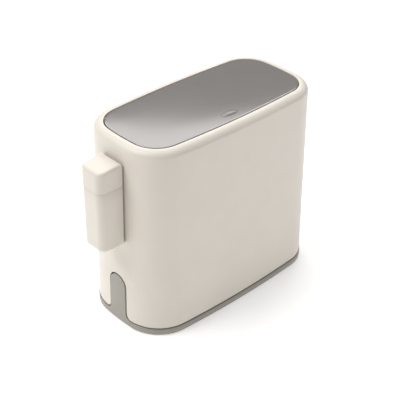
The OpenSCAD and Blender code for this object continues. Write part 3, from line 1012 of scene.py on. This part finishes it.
@dataclass
class Dispenser:
    """The bag dispenser: box, cap, and the two rolls of bags inside it."""

    body: Body
    width: float = 43.0
    depth: float = 39.0
    height: float = 130.0
    cap_height: float = 35.0
    middle: float = 210.0
    gap: float = 2.2
    corner: float = 11.0
    wall: float = 1.8
    back: float = 4.5
    rail_top: float = 15.3
    roll_room: float = 15.6
    roll_r: float = 14.4
    core_r: float = 7.5
    core_hole_r: float = 6.3
    roll_h: float = 57.0
    slope: float = 0.12
    draw_in: float = 0.5
    foot_draw_in: float = 1.4
    narrowing: float = 0.02
    foot_r: float = 5.4
    cap_r: float = 4.2
    neck_half: float = 5.3
    pocket_half: float = 8.4
    roll_gap: float = 0.4

    def tilt(self) -> Matrix:
        """The dispenser's frame: it leans with the wall, with -X pointing out.

        Returns:
            The frame, in metres.
        """
        lean = math.atan(self.body.draft / self.body.height)
        wall_x = -self.body.outline.length / 2 - self.body.flare(self.middle)
        return Matrix.Translation(straight(wall_x, 0, self.middle)) @ Matrix.Rotation(lean, 4, "Y")

    def place(self, x: float, y: float, z: float) -> Vector:
        """Puts a point of the dispenser's frame into the model."""
        return self.tilt() @ straight(x, y, z)

    def outness(self, x: float) -> float:
        """How far out a point lies, from 0 at the wall side to 1 at the outer face."""
        return (-self.gap - x) / self.depth

    def seam(self) -> float:
        """The height of the joint between box and cap in the dispenser's frame."""
        return self.height / 2 - self.cap_height

    def place_box(self, x: float, y: float, z: float) -> Vector:
        """Puts a point of the box into the model; the box draws in towards its foot.

        Args:
            x: The point's X in the dispenser's frame.
            y: Its Y.
            z: Its Z.

        Returns:
            The point, in metres.
        """
        out = self.outness(x)
        down = (self.seam() - z) / (self.height - self.cap_height)
        inward = (self.draw_in + self.foot_draw_in * down) * out
        return self.place(x + inward, y * (1 - self.narrowing * out), z)

    def place_cap(self, x: float, y: float, z: float) -> Vector:
        """Puts a point of the cap into the model; its top falls away from the wall."""
        up = max(0.0, (z - self.seam()) / self.cap_height)
        return self.place(x, y, z - self.slope * up * self.depth * max(0.0, self.outness(x)))

    def plan(self) -> RoundedBox:
        """The dispenser's plan, with tighter corners on the wall side."""
        return RoundedBox(self.depth, self.width, 1.5, 14, -self.gap - self.depth / 2, 0, self.corner)

    def box(self) -> Piece:
        """Builds the open-topped box with its hanger channel and outlet.

        Returns:
            The box.
        """
        skin = Skin("dispenser_box", self.place_box)
        low, seam = -self.height / 2, self.seam()
        path = [(-9, low), (-6, low)]
        path += bend(-self.foot_r, low + self.foot_r, self.foot_r, -90, 0, 10)
        path += [(0, z) for z in spread(low + 5.9, seam - 0.7, 5)]
        path += [(-0.25, seam - 0.25), (-self.wall, seam - 0.25), (-self.wall, low + 5.9)]
        path += bend(-self.foot_r, low + self.foot_r, self.foot_r - self.wall, 0, -90, 6)
        path += [(-9, low + self.wall)]
        skin.loft(self.plan(), path, ends=True)
        inner = -self.gap - self.wall
        pad = RoundedBox(self.back - self.wall + 0.2, self.width - 8, 0.4, 3,
                         inner - (self.back - self.wall) / 2 + 0.05, 0)
        skin.loft(pad, [(0, low + 1.8), (0, 19)], ends=True)
        piece = skin.build(SHELL_WHITE)
        hole = Skin("outlet_tool", self.place)
        hole.loft(RoundedBox(18, 18, 9, 12, self.roll_x(), 0), [(0, low - 2), (0, low + 4)], ends=True)
        face = -self.gap
        neck = block("neck_tool", (face - 1.6, -self.neck_half, low - 1),
                     (face + 2, self.neck_half, self.rail_top), self.place)
        pocket = block("pocket_tool", (face - 3.5, -self.pocket_half, low - 1),
                       (face - 1.55, self.pocket_half, self.rail_top), self.place)
        carve(piece, neck, pocket, hole.build(STEEL))
        piece.data.set_sharp_from_angle(angle=math.radians(35))
        return piece

    def cover(self) -> Piece:
        """Builds the cap: softly crowned, with a plug lip that fits inside the box.

        Returns:
            The cap.
        """
        skin = Skin("dispenser_cap", self.place_cap)
        top, seam, round_r = self.height / 2, self.seam(), self.cap_r
        path = [(-12, top - self.wall)]
        path += bend(-round_r, top - round_r, round_r - self.wall, 90, 0, 6)
        path += [(-self.wall, seam + 3), (-3.6, seam + 3), (-3.6, seam - 4.6), (-3.3, seam - 5),
                 (-2.8, seam - 5), (-2.5, seam - 4.6), (-2.5, seam + 0.15), (-0.2, seam + 0.15),
                 (0, seam + 0.5)]
        path += [(0, z) for z in spread(seam + 1, top - round_r, 4)]
        path += bend(-round_r, top - round_r, round_r, 0, 84, 10)[1:]
        path += [(-8.4, top + 0.04), (-12, top + 0.2)]
        skin.loft(self.plan(), path, ends=True)
        return skin.build(SHELL_WHITE)

    def plate(self) -> Piece:
        """Builds the hanger plate that follows the wall, with its T-shaped rail.

        Returns:
            The plate.
        """
        skin = Skin("hanger_plate", self.place)
        flat = RoundedBox(1.6, 41, 0.5, 3, -1.2, 0)
        reach = self.height / 2 - 4
        path = [(-0.5, -reach), (0, 0.5 - reach), (0, reach - 0.5), (-0.5, reach)]
        skin.loft(flat, path, ends=True)
        stem = RoundedBox(2.4, 10, 0.2, 2, -3.0, 0)
        head = RoundedBox(1.3, 16, 0.4, 3, -4.75, 0)
        for part in (stem, head):
            skin.loft(part, [(-0.3, -40), (0, -39.6), (0, 14.6), (-0.3, 15)], ends=True)
        return skin.build(BASE_GREY)

    def roll_x(self) -> float:
        """Where the rolls' axis lies in the dispenser's frame."""
        return -self.gap - self.back - self.roll_room

    def roll_axis(self, foot: float) -> Matrix:
        """The frame of a roll that starts at a height in the dispenser's frame."""
        return self.tilt() @ Matrix.Translation(straight(self.roll_x(), 0, foot))

    def roll(self, name: str, foot: float) -> Piece:
        """Builds a roll of bags, with the steps of its wound layers at both ends.

        Args:
            name: The roll's name.
            foot: The height of its lower end in the dispenser's frame.

        Returns:
            The roll.
        """
        skin = Skin(name)
        layers = 9
        step = (self.roll_r - self.core_r) / layers
        lower, upper = [], []
        for i in range(layers):
            near = self.core_r + 0.02 + i * step
            rise = 0.35 * (i % 2)
            lower += [(near, rise), (near + step - 0.05, rise)]
            upper += [(near, self.roll_h - rise), (near + step - 0.05, self.roll_h - rise)]
        skin.turn(lower + list(reversed(upper)) + lower[:1], self.roll_axis(foot), 64)
        return skin.build(FILM, sharp=50)

    def core(self, name: str, foot: float) -> Piece:
        """Builds the card tube in a roll.

        Args:
            name: The tube's name.
            foot: The height of its lower end in the dispenser's frame.

        Returns:
            The tube.
        """
        skin = Skin(name)
        inner, outer, high = self.core_hole_r, self.core_r, self.roll_h
        path = [(inner, 0.3), (inner + 0.3, 0), (outer - 0.3, 0), (outer, 0.3), (outer, high - 0.3),
                (outer - 0.3, high), (inner + 0.3, high), (inner, high - 0.3), (inner, 0.3)]
        skin.turn(path, self.roll_axis(foot), 48)
        return skin.build(CARD, sharp=50)

    def assemble(self) -> None:
        """Builds the dispenser's pieces and ties them to their bodies."""
        settle(self.box(), "dispenser", "shell_white", "dispenser_box")
        settle(self.cover(), "cap", "shell_white", "dispenser_cap")
        settle(self.plate(), "shell", "base_grey", "hanger_plate")
        foot = -self.height / 2 + 3.4
        for which in ("lower", "upper"):
            settle(self.roll(f"{which}_bag_roll", foot), f"{which}_roll", "bag_film", f"{which}_bag_roll")
            settle(self.core(f"{which}_roll_core", foot), f"{which}_roll", "card", f"{which}_roll_core")
            foot += self.roll_h + self.roll_gap


# -------- packed hardware and studio


@dataclass(frozen=True)
class Hardware:
    """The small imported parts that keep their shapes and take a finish."""

    finishes: tuple[tuple[str, Finish, float], ...] = (
        ("lid_liner", SHELL_WHITE, 0.3),
        ("lid_seal", RUBBER, 0.0),
        ("latch_housing", BASE_GREY, 0.25),
        ("latch_bolt", BUCKET_GREY, 0.2),
        ("latch_strike", STEEL, 0.2),
        ("outlet_grommet", RUBBER, 0.2),
        ("strike_screws", STEEL, 0.0),
        ("hanger_screws", STEEL, 0.0),
        ("liner_screws", STEEL, 0.0),
        ("latch_screws", STEEL, 0.0),
        ("hinge_pins", STEEL, 0.1),
        ("hinge_springs", STEEL, 0.0),
    )

    def assemble(self) -> None:
        """Gives each part its finish and softened edges."""
        for node, finish, soften in self.finishes:
            dress(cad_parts[node], finish, soften)
            log.info("%s keeps its packed shape", node)


@dataclass
class Studio:
    """A pale floor, soft lights and the camera, in metres and degrees."""

    white: Triple = (1.0, 0.995, 0.985)
    surround: float = 0.25
    floor_half_mm: float = 6000.0
    middle: Triple = (0, 0, 0.15)
    azimuth: float = -43.24
    elevation: float = 33.88
    roll: float = 0.63
    distance: float = 1.50187
    shift_left: float = 0.00467
    shift_down: float = 0.01407
    sensor_mm: float = 36.0
    lens_mm: float = 92.01

    def floor(self) -> None:
        """Lays the pale floor."""
        skin = Skin("floor")
        half = self.floor_half_mm
        corners = ((-half, -half), (half, -half), (half, half), (-half, half))
        skin.fill([straight(x, y, 0) for x, y in corners])
        skin.build(PAPER)

    def panel_light(self, name: str, spot: Triple, size: tuple[float, float],
                    watts: float) -> None:
        """Hangs a soft light that faces the bin.

        Args:
            name: The light's name.
            spot: Where it hangs, in metres.
            size: Its width and height, in metres.
            watts: Its power.
        """
        lamp = bpy.data.lights.new(name, "AREA")
        lamp.shape = "RECTANGLE"
        lamp.size, lamp.size_y = size
        lamp.energy = watts
        lamp.color = self.white
        light = bpy.data.objects.new(name, lamp)
        bpy.context.scene.collection.objects.link(light)
        light.location = spot
        aim = Vector(self.middle) - Vector(spot)
        light.rotation_euler = aim.to_track_quat("-Z", "Y").to_euler()

    def world(self) -> None:
        """Sets an even white surround."""
        world = bpy.data.worlds.new("studio")
        bpy.context.scene.world = world
        world.use_nodes = True
        shade = world.node_tree.nodes.get("Background")
        shade.inputs["Color"].default_value = (1, 1, 1, 1)
        shade.inputs["Strength"].default_value = self.surround

    def camera(self) -> None:
        """Stands the camera on the bin's left front, looking down."""
        azimuth, elevation = math.radians(self.azimuth), math.radians(self.elevation)
        roll = math.radians(self.roll)
        back = Vector((math.sin(azimuth) * math.cos(elevation),
                       -math.cos(azimuth) * math.cos(elevation), math.sin(elevation)))
        right = Vector((0, 0, 1)).cross(back).normalized()
        up = back.cross(right)
        target = Vector(self.middle) - right * self.shift_left - up * self.shift_down
        turned_right = right * math.cos(roll) + up * math.sin(roll)
        turned_up = up * math.cos(roll) - right * math.sin(roll)
        lens = bpy.data.cameras.new("camera")
        lens.sensor_width = self.sensor_mm
        lens.lens = self.lens_mm
        camera = bpy.data.objects.new("camera", lens)
        bpy.context.scene.collection.objects.link(camera)
        basis = Matrix((turned_right, turned_up, back)).transposed().to_4x4()
        camera.matrix_world = Matrix.Translation(target + back * self.distance) @ basis
        bpy.context.scene.camera = camera

    def assemble(self) -> None:
        """Sets up the whole studio."""
        self.floor()
        self.world()
        self.panel_light("key", (-1.3, 0.9, 2.6), (1.6, 1.6), 51)
        self.panel_light("lid_glow", (2.0, 2.12, 2.73), (3.2, 1.3), 64)
        self.panel_light("overhead", (0, 0, 3.0), (2.6, 2.6), 15)
        self.panel_light("front_right", (2.4, -2.2, 1.8), (2.0, 1.6), 13)
        self.camera()
        bpy.context.scene.view_settings.view_transform = "Standard"


def main() -> None:
    """Builds every piece and the studio."""
    logging.basicConfig(level=logging.INFO, format="%(name)s: %(message)s")
    body = Body()
    body.assemble()
    Bucket(body).assemble()
    Lid(body).assemble()
    LatchSpring().assemble()
    Dispenser(body).assemble()
    Hardware().assemble()
    Studio().assemble()


if __name__ == "__main__":
    main()
